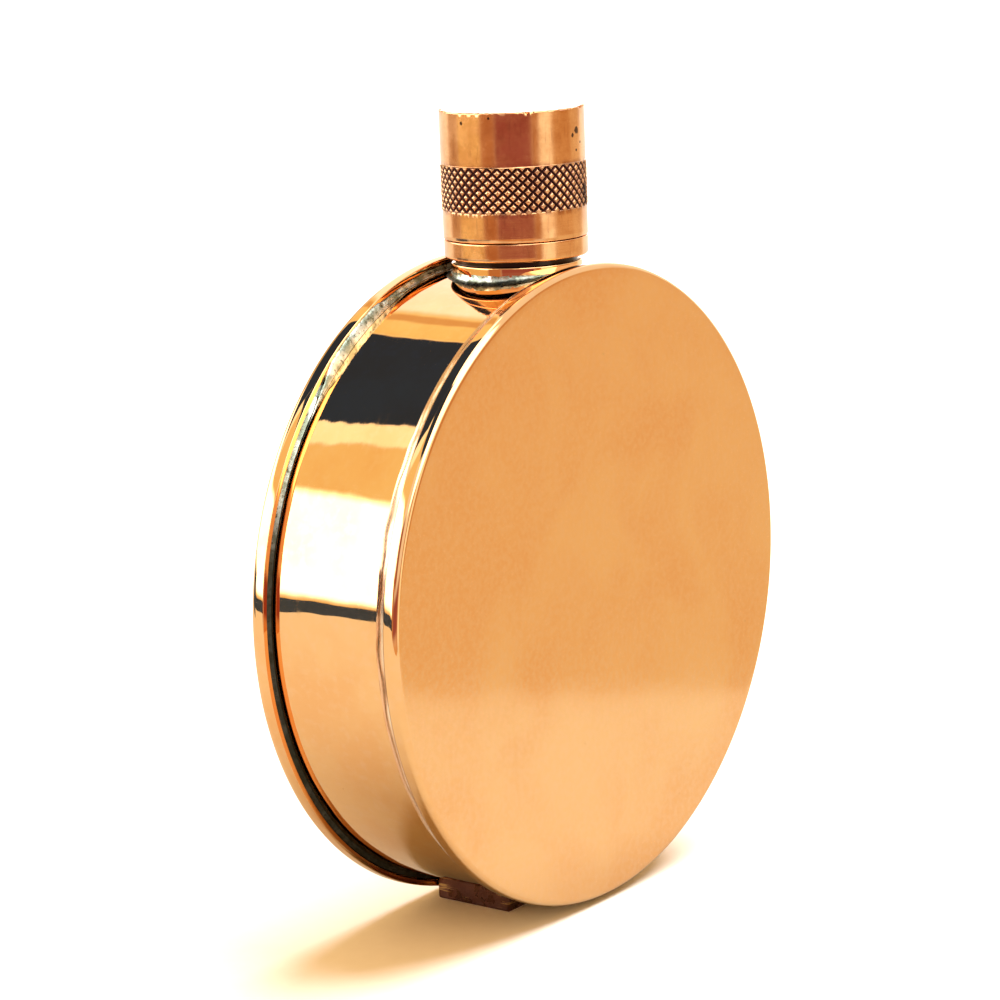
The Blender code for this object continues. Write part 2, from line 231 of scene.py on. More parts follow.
class Graph:
    """A node tree with short ways to add what the looks here need."""

    def __init__(self, tree):
        self.tree = tree
        self.coords = None

    def add(self, kind, **settings):
        node = self.tree.nodes.new(kind)
        for name, value in settings.items():
            setattr(node, name, value)
        return node

    def put(self, socket, value):
        if isinstance(value, bpy.types.NodeSocket):
            self.tree.links.new(value, socket)
        elif isinstance(value, tuple) and len(value) == 3 and socket.type == "RGBA":
            socket.default_value = (*value, 1.0)
        else:
            socket.default_value = value

    def place(self, scale=(1.0, 1.0, 1.0)):
        """The piece's own coordinates, in metres, stretched."""
        if self.coords is None:
            self.coords = self.add("ShaderNodeTexCoord").outputs["Object"]
        mapping = self.add("ShaderNodeMapping")
        mapping.inputs["Scale"].default_value = scale
        self.put(mapping.inputs["Vector"], self.coords)
        return mapping.outputs["Vector"]

    def round_drum(self, scale):
        """Coordinates along the drum's rim and across it, stretched."""
        x, y, z = self.separate()
        angle = self.math("ARCTAN2", x, self.math("SUBTRACT", z, AXIS_Z))
        node = self.add("ShaderNodeCombineXYZ")
        self.put(node.inputs[0], self.math("MULTIPLY", angle, WALL_R * scale[0]))
        self.put(node.inputs[1], self.math("MULTIPLY", y, scale[1]))
        return node.outputs[0]

    def noise(self, size, detail=3.0, stretch=(1.0, 1.0, 1.0), rough=0.55, twist=0.0, vector=None):
        """Noise from 0 to 1 with features of about that size in metres."""
        node = self.add("ShaderNodeTexNoise")
        self.put(node.inputs["Vector"], vector or self.place(stretch))
        node.inputs["Scale"].default_value = 1.0 / size
        node.inputs["Detail"].default_value = detail
        node.inputs["Roughness"].default_value = rough
        node.inputs["Distortion"].default_value = twist
        return node.outputs["Fac"]

    def cells(self, size):
        """Distance to the nearest of points scattered about that far apart."""
        node = self.add("ShaderNodeTexVoronoi")
        self.put(node.inputs["Vector"], self.place())
        node.inputs["Scale"].default_value = 1.0 / size
        return node.outputs["Distance"]

    def math(self, operation, a, b=0.0, c=None):
        node = self.add("ShaderNodeMath", operation=operation)
        self.put(node.inputs[0], a)
        self.put(node.inputs[1], b)
        if c is not None:
            self.put(node.inputs[2], c)
        return node.outputs[0]

    def level(self, value, low, high, to_low=0.0, to_high=1.0):
        """Smoothly maps low..high to to_low..to_high."""
        node = self.add("ShaderNodeMapRange", interpolation_type="SMOOTHSTEP")
        self.put(node.inputs["Value"], value)
        for name, number in (("From Min", low), ("From Max", high), ("To Min", to_low), ("To Max", to_high)):
            node.inputs[name].default_value = number
        return node.outputs["Result"]

    def mix(self, share, a, b):
        """Colour a where the share is 0, b where it is 1."""
        node = self.add("ShaderNodeMix", data_type="RGBA")
        self.put(node.inputs[0], share)
        self.put(node.inputs[6], a)
        self.put(node.inputs[7], b)
        return node.outputs[2]

    def bump(self, height, distance):
        node = self.add("ShaderNodeBump")
        node.inputs["Strength"].default_value = 1.0
        node.inputs["Distance"].default_value = distance
        self.put(node.inputs["Height"], height)
        return node.outputs["Normal"]

    def separate(self):
        node = self.add("ShaderNodeSeparateXYZ")
        self.put(node.inputs[0], self.place())
        return node.outputs

    def spot(self, azimuth, height, radius, size):
        """1 inside a ragged spot on something turned round the Z axis, 0 outside."""
        toward = compass(azimuth) * radius
        node = self.add("ShaderNodeVectorMath", operation="DISTANCE")
        self.put(node.inputs[0], self.place())
        node.inputs[1].default_value = (toward.x, toward.y, height)
        ragged = self.math("MULTIPLY_ADD", self.noise(0.5 * MM, 3.0), size, node.outputs["Value"])
        return self.level(ragged, size * 1.15, size * 1.45, 1.0, 0.0)

    def radius(self, first, second):
        """Distance from an axis, given the two coordinates across it."""
        return self.math("SQRT", self.math("ADD", self.math("MULTIPLY", first, first),
                                           self.math("MULTIPLY", second, second)))


def new_material(name, metallic):
    material = bpy.data.materials.new(name)
    material.use_nodes = True
    material.node_tree.nodes.clear()
    graph = Graph(material.node_tree)
    shader = graph.add("ShaderNodeBsdfPrincipled")
    shader.inputs["Metallic"].default_value = metallic
    output = graph.add("ShaderNodeOutputMaterial")
    graph.put(output.inputs["Surface"], shader.outputs["BSDF"])
    return material, graph, shader.inputs


COPPER = (0.950, 0.545, 0.245)
COPPER_DEEP = (0.915, 0.475, 0.195)
COPPER_PINK = (0.945, 0.575, 0.325)
OXIDE = (0.022, 0.007, 0.007)
RED_OXIDE = (0.130, 0.034, 0.024)
# near black, painted as shade in the recess under the spout's flange
RECESS_SHADE_BLACK = (0.014, 0.012, 0.014)
TURNED = (0.915, 0.495, 0.230)
TURNED_AGED = (0.765, 0.365, 0.150)
TURNED_BROWN = (0.560, 0.250, 0.110)
GRIME = (0.34, 0.13, 0.07)
TIN_BRIGHT = (0.72, 0.76, 0.68)
TIN_DULL = (0.27, 0.31, 0.23)
TIN_FRECKLE = (0.80, 0.80, 0.74)
FLUX = (0.085, 0.080, 0.045)
FLUX_TOE = (0.050, 0.042, 0.022)
# near black for the low seam solder: partly dark flux, partly painted shade
FLUX_AND_SHADE_BLACK = (0.035, 0.028, 0.016)
FILLET_PALE = (0.96, 0.71, 0.49)
FILLET_DEEP = (0.95, 0.62, 0.38)
# The foot's colours: a brown that is partly painted shade, and a painted glint.
SHADED_BROWN = (0.30, 0.12, 0.07)
SHADED_BROWN_DEEP = (0.15, 0.055, 0.035)
PAINTED_GLINT = (0.80, 0.45, 0.16)
BRASS = (0.80, 0.60, 0.28)
BRASS_AGED = (0.62, 0.43, 0.18)
RUBBER = (0.018, 0.017, 0.016)
RUBBER_DUST = (0.055, 0.050, 0.046)
BLACK_CARD = (0.025, 0.045, 0.095)

CAP_SPOTS = (  # azimuth in degrees, height and size in mm
    (-188, 124.6, 0.75), (-182, 123.9, 0.40), (-194, 122.6, 0.28), (-187, 121.5, 0.30), (-84, 126.5, 0.36),
    (-109, 127.3, 0.26), (-201, 115.0, 1.20), (-203, 113.4, 0.9), (60, 124.0, 0.5), (150, 125.0, 0.4),
)


def polished_copper():
    """Mirror-polished sheet with faint smears, polishing strokes and a few pits."""
    material, graph, shader = new_material("polished_copper", 1.0)
    clouds = graph.level(graph.noise(14 * MM, 4.0), 0.35, 0.68)
    fine = graph.level(graph.noise(1.6 * MM, 5.0), 0.45, 0.75)
    colour = graph.mix(clouds, COPPER, COPPER_DEEP)
    colour = graph.mix(graph.math("MULTIPLY", fine, 0.35), colour, COPPER_PINK)
    pits = graph.level(graph.cells(5.0 * MM), 0.0, 0.035, 1.0, 0.0)
    colour = graph.mix(graph.math("MULTIPLY", pits, 0.5), colour, OXIDE)
    smears = graph.level(graph.noise(7 * MM, 5.0, (1.0, 1.8, 1.0), 0.65), 0.50, 0.80, 0.020, 0.050)
    strokes = graph.noise(0.9 * MM, 3.0, vector=graph.round_drum((0.16, 1.0)), rough=0.6)
    patches = graph.level(graph.noise(6 * MM, 2.0), 0.42, 0.58, 0.25, 1.0)
    strokes = graph.math("MULTIPLY", graph.level(strokes, 0.42, 0.74, 0.0, 0.045), patches)
    lines = graph.noise(0.5 * MM, 3.0, vector=graph.round_drum((0.12, 1.0)))
    graph.put(shader["Base Color"], colour)
    graph.put(shader["Roughness"], graph.math("ADD", smears, strokes))
    graph.put(shader["Normal"], graph.bump(lines, 0.0010 * MM))
    return material


def satin_copper():
    """The covers' faces: buffed to a soft sheen, mottled, with a few specks and hairline marks."""
    material, graph, shader = new_material("satin_copper", 1.0)
    clouds = graph.level(graph.noise(22 * MM, 4.0, rough=0.5, twist=0.4), 0.36, 0.66)
    mottle = graph.level(graph.noise(1.1 * MM, 4.0, rough=0.7), 0.36, 0.66)
    colour = graph.mix(clouds, COPPER, COPPER_DEEP)
    colour = graph.mix(graph.math("MULTIPLY", mottle, 0.40), colour, COPPER_PINK)
    specks = graph.level(graph.cells(6.5 * MM), 0.0, 0.030, 1.0, 0.0)
    colour = graph.mix(graph.math("MULTIPLY", specks, 0.55), colour, OXIDE)
    grain = graph.noise(0.45 * MM, 4.0, rough=0.6)
    patches = graph.level(graph.noise(9 * MM, 3.0), 0.3, 0.7, 0.11, 0.16)
    graph.put(shader["Base Color"], colour)
    graph.put(shader["Roughness"], graph.math("ADD", patches, graph.math("MULTIPLY", mottle, 0.03)))
    graph.put(shader["Normal"], graph.bump(grain, 0.0016 * MM))
    return material


def turned_copper(name, knurled):
    """Lathe-turned copper: fine rings that spread its reflections up and down, an aged tone, and
    painted shade, near black, in the recess under the spout's flange. The cap also has oxide in the knurl's
    grooves and a few old dark spots."""
    material, graph, shader = new_material(name, 1.0)
    x, y, z = graph.separate()
    away = graph.radius(x, y)
    rings = graph.noise(0.9 * MM, 4.0, (0.10, 0.10, 6.0), 0.7)
    clouds = graph.level(graph.noise(4.5 * MM, 5.0, rough=0.65), 0.36, 0.68)
    colour = graph.mix(clouds, TURNED, TURNED_AGED)
    colour = graph.mix(graph.level(rings, 0.45, 0.75, 0.0, 0.35), colour, TURNED_AGED)
    upright = graph.noise(0.8 * MM, 4.0, (1.0, 1.0, 0.16), 0.65)
    colour = graph.mix(graph.level(upright, 0.52, 0.74, 0.0, 0.55), colour, TURNED_BROWN)
    roughness = graph.level(graph.noise(3 * MM, 3.0), 0.3, 0.7, 0.11, 0.17)
    if knurled:
        in_band = graph.math("MULTIPLY", graph.level(z, KNURL_BOTTOM - 0.30 * MM, KNURL_BOTTOM - 0.10 * MM),
                             graph.level(z, KNURL_TOP - 0.04 * MM, KNURL_TOP + 0.04 * MM, 1.0, 0.0))
        flank = graph.level(away, KNURL_CREST_R - 0.15 * MM, KNURL_CREST_R - 0.04 * MM, 1.0, 0.0)
        deep = graph.level(away, KNURL_CREST_R - 0.24 * MM, KNURL_CREST_R - 0.12 * MM, 1.0, 0.0)
        near = graph.math("MULTIPLY", graph.level(z, KNURL_BOTTOM - 1.3 * MM, KNURL_BOTTOM, 0.0, 0.9),
                          graph.level(z, KNURL_TOP, KNURL_TOP + 1.0 * MM, 0.9, 0.0))
        grime = graph.math("MULTIPLY", near, graph.level(graph.noise(1.5 * MM, 4.0), 0.36, 0.62))
        colour = graph.mix(grime, colour, GRIME)
        colour = graph.mix(graph.math("MULTIPLY", in_band, 0.30), colour, COPPER_PINK)
        groove = graph.math("MULTIPLY", in_band, flank)
        bottom = graph.math("MULTIPLY", in_band, deep)
        colour = graph.mix(graph.math("MULTIPLY", groove, 0.92), colour, RED_OXIDE)
        colour = graph.mix(graph.math("MULTIPLY", bottom, 0.97), colour, OXIDE)
        for azimuth, height, size in CAP_SPOTS:
            spot = graph.spot(azimuth, height * MM, CAP_R, size * MM)
            colour = graph.mix(graph.math("MULTIPLY", spot, 0.9), colour, OXIDE)
        roughness = graph.math("ADD", roughness, graph.math("MULTIPLY", in_band, 0.12))
    else:
        # Painted shade: the recess under the flange's overhang is coloured near black, standing in for its
        # shadow.
        low = graph.level(z, FLANGE_BOTTOM + 0.05 * MM, FLANGE_BOTTOM + 0.25 * MM, 1.0, 0.0)
        recess = graph.math("MULTIPLY", low, graph.level(away, BORE_R + 0.3 * MM, SHANK_R))
        colour = graph.mix(graph.math("MULTIPLY", recess, 0.97), colour, RECESS_SHADE_BLACK)
    graph.put(shader["Base Color"], colour)
    graph.put(shader["Roughness"], roughness)
    shader["Anisotropic"].default_value = 0.55
    graph.put(shader["Tangent"], graph.add("ShaderNodeTangent", direction_type="RADIAL", axis="Z").outputs[0])
    graph.put(shader["Normal"], graph.bump(rings, 0.0035 * MM))
    return material


def solder(name, rim_r, painted_shade_below):
    """Tin solder, dull and pitted. Dark flux stays low in its toe and in its hollows. Below a height on
    the drum it is coloured near black, partly dark flux and partly painted shade where the seam lies in
    shadow."""
    material, graph, shader = new_material(name, 1.0)
    grey = graph.level(graph.noise(2.4 * MM, 4.0), 0.36, 0.62)
    colour = graph.mix(grey, TIN_BRIGHT, TIN_DULL)
    flux = graph.level(graph.noise(0.8 * MM, 5.0, rough=0.7), 0.54, 0.64)
    colour = graph.mix(graph.math("MULTIPLY", flux, 0.85), colour, FLUX)
    x, _, z = graph.separate()
    above = graph.math("SUBTRACT", graph.radius(x, graph.math("SUBTRACT", z, AXIS_Z)), WALL_R)
    above = graph.math("MULTIPLY_ADD", graph.noise(1.3 * MM, 4.0), 0.5 * rim_r, above)
    low = graph.level(above, rim_r * 0.55, rim_r * 0.95, 1.0, 0.0)
    colour = graph.mix(graph.math("MULTIPLY", low, 0.9), colour, FLUX_TOE)
    # Below a height on the drum the solder goes near black: partly dark flux, partly painted shade for the
    # shadowed crevice.
    height = graph.math("MULTIPLY_ADD", graph.noise(5 * MM, 4.0), 16 * MM, z)
    lower = graph.level(height, painted_shade_below - 2 * MM, painted_shade_below + 10 * MM, 1.0, 0.0)
    colour = graph.mix(graph.math("MULTIPLY", lower, 0.93), colour, FLUX_AND_SHADE_BLACK)
    graph.put(shader["Base Color"], colour)
    roughness = graph.level(graph.noise(0.9 * MM, 3.0), 0.3, 0.7, 0.24, 0.45)
    graph.put(shader["Roughness"], graph.math("MULTIPLY_ADD", lower, 0.25, roughness))
    graph.put(shader["Normal"], graph.bump(graph.noise(0.55 * MM, 4.0, rough=0.65), 0.030 * MM))
    return material


def copper_fillet():
    """Solder dressed flush and flashed with copper: a little paler than the sheet, with small silver
    freckles."""
    material, graph, shader = new_material("copper_fillet", 1.0)
    clouds = graph.level(graph.noise(5 * MM, 4.0), 0.35, 0.70)
    colour = graph.mix(clouds, FILLET_PALE, FILLET_DEEP)
    freckles = graph.level(graph.noise(0.9 * MM, 3.0, rough=0.6), 0.60, 0.68)
    patches = graph.level(graph.noise(9 * MM, 2.0), 0.50, 0.62)
    share = graph.math("MULTIPLY", freckles, patches)
    colour = graph.mix(graph.math("MULTIPLY", share, 0.9), colour, TIN_FRECKLE)
    graph.put(shader["Base Color"], colour)
    graph.put(shader["Roughness"], graph.level(graph.noise(2.5 * MM, 3.0), 0.3, 0.7, 0.12, 0.18))
    graph.put(shader["Normal"], graph.bump(graph.noise(1.2 * MM, 3.0), 0.0025 * MM))
    return material


def dark_copper():
    """Copper browned by heat and handling, and darkened further as painted shade for the shadow under the
    drum, with bright streaks that are a painted reflection.
    """
    material, graph, shader = new_material("dark_copper", 1.0)
    # The brown is partly the copper's own browning and partly painted shade for the shadow the foot sits in.
    brown = graph.mix(graph.level(graph.noise(4 * MM, 5.0), 0.3, 0.7), SHADED_BROWN, SHADED_BROWN_DEEP)
    # Painted reflection: bright streaks standing in for a glint on the metal.
    streaks = graph.level(graph.noise(1.6 * MM, 4.0, (0.25, 0.25, 3.0)), 0.60, 0.70)
    colour = graph.mix(graph.math("MULTIPLY", streaks, 0.75), brown, PAINTED_GLINT)
    graph.put(shader["Base Color"], colour)
    graph.put(shader["Roughness"], graph.level(graph.noise(2 * MM, 4.0), 0.3, 0.7, 0.22, 0.42))
    graph.put(shader["Normal"], graph.bump(graph.noise(0.8 * MM, 4.0), 0.015 * MM))
    return material


def turned_brass():
    """Bare brass with the lathe's rings."""
    material, graph, shader = new_material("turned_brass", 1.0)
    rings = graph.noise(0.7 * MM, 4.0, (0.10, 0.10, 6.0), 0.7)
    colour = graph.mix(graph.level(graph.noise(3 * MM, 4.0), 0.35, 0.7), BRASS, BRASS_AGED)
    graph.put(shader["Base Color"], colour)
    graph.put(shader["Roughness"], graph.level(rings, 0.3, 0.7, 0.20, 0.32))
    graph.put(shader["Normal"], graph.bump(rings, 0.003 * MM))
    return material


def seal_rubber():
    """Black rubber with a little dust."""
    material, graph, shader = new_material("seal_rubber", 0.0)
    dust = graph.level(graph.noise(0.8 * MM, 4.0), 0.45, 0.75)
    graph.put(shader["Base Color"], graph.mix(dust, RUBBER, RUBBER_DUST))
    graph.put(shader["Roughness"], graph.level(dust, 0.0, 1.0, 0.55, 0.80))
    graph.put(shader["Normal"], graph.bump(graph.noise(0.35 * MM, 3.0), 0.010 * MM))
    return material


# ---------------------------------------------------------------------- pieces


def cover(name, node, radius, face_y, edge_y, corner, burnish, seed, faces, rim):
    """A pressed cover. Its face and its rolled corner and lip carry the faint waves of pressed sheet.
    burnish is how far the lip's edge was rubbed down towards the band."""
    side = 1 if face_y > 0 else -1

    def put(r, depth):
        """depth counts from the face towards the drum's middle."""
        return r, face_y - side * depth

    lip = abs(face_y - edge_y)
    inner = max(corner - SHEET, 0.3 * MM)
    soft = 0.12 * MM
    outline = [put(0.0, 0.0)]
    outline += [put(r, d) for r, d in run((1.0 * MM, 0.0), (radius - corner, 0.0), 1.1 * MM)]
    outline += [put(r, corner - d) for r, d in bend(radius - corner, 0.0, corner, 90, 0, 12)]
    outline += [put(r, d) for r, d in run((radius, corner), (radius, lip - soft), 0.25 * MM)[1:]]
    outline += [put(r, d) for r, d in bend(radius - soft, lip - soft, soft, 0, 90, 4)]
    outline += [put(r, d) for r, d in bend(radius - SHEET + soft, lip - soft, soft, 90, 180, 4)]
    outline += [put(r, SHEET + inner - d)
                for r, d in bend(radius - SHEET - inner, 0.0, inner, 0, 90, 5)]
    outline += [put(r, SHEET) for r in (0.6 * radius, 0.2 * radius)]
    outline += [put(0.0, SHEET)]

    def offset(r, along, angle):
        place = drum_place(r, along, angle)
        depth = abs(along - face_y)
        if depth > SHEET * 0.5 and r < radius - SHEET * 1.05:
            return 0.0, 0.0
        on_face = smoothstep(radius, radius - 4 * MM, r)
        down = burnish * max(0.0, (depth - corner) / (lip - corner)) ** 2
        dish = 0.020 * MM * waves(place, 17 * MM, seed) + 0.004 * MM * waves(place, 6 * MM, seed + 3)
        lip_wave = 0.016 * MM * waves(place, 7 * MM, seed + 5) + 0.004 * MM * waves(place, 2.5 * MM, seed)
        return lip_wave * (1 - on_face) - down, -side * (abs(dish) * on_face)

    obj = turned(name, outline, 400, drum_place, offset)
    finish_piece(obj, "flask", [node], [faces, rim])
    flat = radius - corner * 0.75
    for face in obj.data.polygons:
        centre = face.center
        away = math.hypot(centre.x, centre.z - AXIS_Z)
        if away > flat or abs(centre.y - face_y) > SHEET * 0.5:
            face.material_index = 1
    return obj


def wall(material):
    """The band, with the slight waves that bending left in it, pierced for the spout."""
    inside = WALL_R - SHEET
    outline = run((WALL_R, WALL_Y), (WALL_R, -WALL_Y), 0.42 * MM) + [(WALL_R, -WALL_Y)]
    outline += [(inside, -WALL_Y), (inside, 0.0), (inside, WALL_Y)]

    def offset(r, along, angle):
        if r < WALL_R:
            return 0.0, 0.0
        place = drum_place(r, along, angle)
        long_waves = 0.040 * MM * waves(place, 9.5 * MM, 1.0) + 0.008 * MM * waves(place, 5 * MM, 6.0)
        short_waves = 0.0040 * MM * waves(place, 2.1 * MM, 4.0)
        return long_waves + short_waves, 0.0

    obj = turned("wall_band", outline, 720, drum_place, offset)
    hole = SHANK_R + 0.3 * MM
    cut_from = AXIS_Z + WALL_R - 6 * MM
    cut_to = AXIS_Z + WALL_R + 4 * MM
    cutter_outline = [(0.0, cut_from), (hole, cut_from), (hole, cut_to), (0.0, cut_to)]
    carve(obj, turned("spout_hole", cutter_outline, 96, neck_place))
    return finish_piece(obj, "flask", ["side_wall"], [material])


def front_fillet(material):
    """Sloping fillet from the band up to the front cover's lip."""
    toe = (WALL_R + 0.04 * MM, FILLET_Y - 0.45 * MM)
    top = (FRONT_R - 0.10 * MM, FRONT_EDGE_Y + 0.02 * MM)
    outline = []
    for i in range(11):
        share = i / 10
        sag = -0.05 * MM * math.sin(math.pi * share)
        outline.append((toe[0] + (top[0] - toe[0]) * share - sag, toe[1] + (top[1] - toe[1]) * share))
    outline += [(WALL_R - 0.05 * MM, top[1]), (WALL_R - 0.05 * MM, toe[1] + 0.15 * MM)]

    def offset(r, along, angle):
        if r < WALL_R:
            return 0.0, 0.0
        place = drum_place(r, along, angle)
        share = (toe[1] - along) / (toe[1] - top[1])
        lumps = 0.022 * MM * waves(place, 4.5 * MM, 8.0) + 0.004 * MM * waves(place, 1.3 * MM, 9.0)
        edge = 0.22 * MM * waves(place, 5 * MM, 12.0) * (1 - share)
        return lumps * math.sin(math.pi * min(1, max(0, share))), edge

    obj = turned("front_fillet", outline, 720, drum_place, offset)
    return finish_piece(obj, "flask", ["front_seam_solder"], [material])


def back_bead(material):
    """Solder against the back lip. High on each side, where it pooled, it stands as a lumpy fillet
    up to the lip's edge. Near the neck it lies low. Lower down it is only a crevice, which its material
    colours near black as flux and painted shade."""
    lip_y = BACK_EDGE_Y
    low = WALL_R - 0.05 * MM
    under_lip = WALL_R + 0.75 * MM
    rim_gap = 0.32 * MM
    # the hump's back reach from the lip and its height, both in mm
    hump = [(0.98, 0.03), (0.90, 0.20), (0.78, 0.42), (0.64, 0.62), (0.50, 0.78), (0.36, 0.90), (0.22, 0.98),
            (0.10, 1.0), (0.03, 0.98)]
    outline = [(low, lip_y - 1.0 * MM)]
    outline += [(WALL_R + high * MM, lip_y - back * MM) for back, high in hump]
    outline += [(WALL_R + 0.30 * MM, lip_y + 0.20 * MM), (under_lip, lip_y + 0.40 * MM), (under_lip, WALL_Y),
                (low, WALL_Y)]

    def offset(r, along, angle):
        back = lip_y - along
        if back < 0.01 * MM:
            return 0.0, 0.0
        place = drum_place(WALL_R, along, angle)
        off_top = abs((math.degrees(angle) + 180) % 360 - 180)
        pooled = smoothstep(POOLED[0], POOLED[1], off_top) * smoothstep(POOLED[3], POOLED[2], off_top)
        patchy = 0.5 + 0.5 * waves(drum_place(WALL_R, 0, angle), 8 * MM, 24.0)
        upper = smoothstep(64, 42, off_top)
        wide = 0.08 + 0.62 * pooled + 0.34 * upper * (1 - pooled) + 0.06 * patchy
        tall = 0.12 + 1.68 * pooled + 0.34 * upper * (1 - pooled) + 0.06 * patchy
        crevice = 1 - (1 - pooled) * smoothstep(0.45 * MM, 0.05 * MM, back * wide)
        lumps = 1 + 0.14 * waves(place, 1.8 * MM, 20.0) + 0.08 * waves(place, 0.7 * MM, 21.0)
        toe = 0.16 * MM * waves(place, 1.6 * MM, 22.0) * min(1.0, back * wide / MM)
        high = max(0.0, r - WALL_R)
        top = min(high * tall * lumps, BACK_R - WALL_R - rim_gap)
        return top * max(0.15, crevice) - high, back * (1 - wide) + toe

    obj = turned("back_bead", outline, 1000, drum_place, offset)
    return finish_piece(obj, "flask", ["back_seam_solder"], [material])


def wall_height(x):
    return AXIS_Z + math.sqrt(WALL_R ** 2 - x ** 2)


def on_drum(radius, above, angle):
    """A place round the neck, at a height above the band's surface."""
    x, y = radius * math.cos(angle), radius * math.sin(angle)
    return Vector((x, y, wall_height(x) + above))


def on_bead(radius, share, angle):
    """A place round the neck, at a share of the way from the band up to the bead's top."""
    x, y = radius * math.cos(angle), radius * math.sin(angle)
    floor_z = wall_height(x)
    return Vector((x, y, floor_z + share * (NECK_BEAD_TOP - floor_z)))


def neck_bead(material):
    """Bead of solder that climbs the collar and spreads over the band."""
    inner = COLLAR_R - 0.1 * MM
    spread = NECK_BEAD_R - COLLAR_R
    outline = [(inner, -0.1), (inner, 1.0), (COLLAR_R + 0.05 * MM, 1.0)]
    outline += [(COLLAR_R + 0.05 * MM + spread * (1 - math.cos(a)), 1 - math.sin(a))
                for a in (math.pi / 2 * i / 9 for i in range(1, 9))]
    outline += [(NECK_BEAD_R + 0.05 * MM, 0.0), (NECK_BEAD_R + 0.05 * MM, -0.1)]

    def offset(r, share, angle):
        if share < 0 or r <= inner:
            return 0.0, 0.0
        place = neck_place(r, COLLAR_TOP + share * MM, angle)
        lumps = 0.14 * waves(place, 2.4 * MM, 30.0) + 0.10 * waves(place, 0.9 * MM, 31.0)
        outward = 0.16 * MM * waves(place, 1.3 * MM, 33.0) + 0.08 * MM * waves(place, 0.6 * MM, 34.0)
        return outward, lumps * min(1.0, share / 0.3)

    obj = turned("neck_bead", outline, 360, on_bead, offset)
    return finish_piece(obj, "flask", ["neck_solder"], [material])


def collar(material):
    """Ring round the spout. Its top is level and its underside follows the band."""
    round_over = 0.28 * MM
    hole = SHANK_R + 0.15 * MM
    outline = [(hole, -1.0), (hole, COLLAR_TOP)]
    outline += bend(COLLAR_R - round_over, COLLAR_TOP - round_over, round_over, 90, 0, 6)
    outline += [(COLLAR_R, COLLAR_TOP - 0.8 * MM), (COLLAR_R, -1.0)]

    def place(radius, along, angle):
        if along > 0:
            return neck_place(radius, along, angle)
        return on_drum(radius, -0.03 * MM, angle)

    obj = turned("collar_ring", outline, 200, place)
    return finish_piece(obj, "flask", ["neck_collar"], [material])


def thread_height(along, angle, start, turns, base_half, crest_half):
    """Share of the ridge's height at a place on a right-handed thread that starts at angle 0."""
    turn = round((along - start) / PITCH - angle / (2 * math.pi))
    progress = turn + angle / (2 * math.pi)
    if progress < 0 or progress > turns:
        return 0.0
    away = abs(along - start - progress * PITCH)
    ends = smoothstep(0.0, 0.12, progress) * smoothstep(turns, turns - 0.12, progress)
    return ends * min(1.0, max(0.0, (base_half - away) / (base_half - crest_half)))


def spout(material):
    """Turned spout: shank, seat, flange with a rounded lower edge, and the threaded nozzle."""
    round_over = 0.40 * MM
    chamfer = 0.4 * MM
    outline = [(BORE_R, SPOUT_TOP - chamfer), (BORE_R + chamfer, SPOUT_TOP), (ROOT_R - chamfer, SPOUT_TOP)]
    outline += run((ROOT_R, SPOUT_TOP - chamfer), (ROOT_R, FLANGE_TOP), 0.12 * MM) + [(ROOT_R, FLANGE_TOP)]
    outline += bend(FLANGE_R - 0.12 * MM, FLANGE_TOP - 0.12 * MM, 0.12 * MM, 90, 0, 3)
    outline += run((FLANGE_R, FLANGE_TOP - 0.3 * MM), (FLANGE_R, FLANGE_BOTTOM + round_over), 0.5 * MM)
    outline += bend(FLANGE_R - round_over, FLANGE_BOTTOM + round_over, round_over, 0, -90, 6)
    outline += [(SEAT_R, FLANGE_BOTTOM), (SEAT_R, COLLAR_TOP + 0.02 * MM), (SHANK_R, COLLAR_TOP + 0.02 * MM)]
    outline += [(SHANK_R, SPOUT_BOTTOM), (BORE_R, SPOUT_BOTTOM)]

    def offset(r, along, angle):
        if abs(r - ROOT_R) > 0.01 * MM or along > SPOUT_TOP - chamfer * 0.9:
            return 0.0, 0.0
        share = thread_height(along, angle, THREAD_START, THREAD_TURNS, 0.70 * MM, 0.25 * MM)
        return share * (CREST_R - ROOT_R), 0.0

    obj = turned("spout", outline, 180, neck_place, offset, 38)
    return finish_piece(obj, "flask", ["neck_spout"], [material])


def thread_insert(material):
    """Threaded bush inside the cap."""
    soft = 0.15 * MM
    outline = [(INSERT_R, INSERT_TOP), (INSERT_R, CAP_BOTTOM), (INSERT_BORE_R + soft, CAP_BOTTOM)]
    outline += run((INSERT_BORE_R, CAP_BOTTOM + soft), (INSERT_BORE_R, INSERT_TOP - soft), 0.12 * MM)
    outline += [(INSERT_BORE_R, INSERT_TOP - soft), (INSERT_BORE_R + soft, INSERT_TOP)]

    def offset(r, along, angle):
        if abs(r - INSERT_BORE_R) > 0.01 * MM:
            return 0.0, 0.0
        start = THREAD_START + PITCH / 2
        share = thread_height(along, angle, start, INSERT_TURNS, 0.60 * MM, 0.20 * MM)
        return share * (INSERT_CREST_R - INSERT_BORE_R), 0.0

    obj = turned("thread_insert", outline, 180, neck_place, offset, 38)
    return finish_piece(obj, "cap", ["cap_thread_insert"], [material])


def seal(material):
    """Washer with soft edges and the ring that the spout's rim has pressed into it."""
    soft = 0.3 * MM
    ring = (BORE_R + ROOT_R) / 2
    outline = [(0.0, SEAL_BOTTOM)]
    for r in (3 * MM, BORE_R - 0.4 * MM, BORE_R + 0.1 * MM, ring, ROOT_R - 0.1 * MM, ROOT_R + 0.4 * MM):
        pressed = 0.10 * MM * (1 - smoothstep(0.5 * MM, 1.1 * MM, abs(r - ring)))
        outline.append((r, SEAL_BOTTOM + pressed))
    outline += bend(SEAL_R - soft, SEAL_BOTTOM + soft, soft, -90, 0, 4)
    outline += bend(SEAL_R - soft, SEAL_TOP - soft, soft, 0, 90, 4)
    outline += [(0.0, SEAL_TOP)]
    obj = turned("seal_washer", outline, 96, neck_place)
    return finish_piece(obj, "seal", ["cap_seal"], [material])


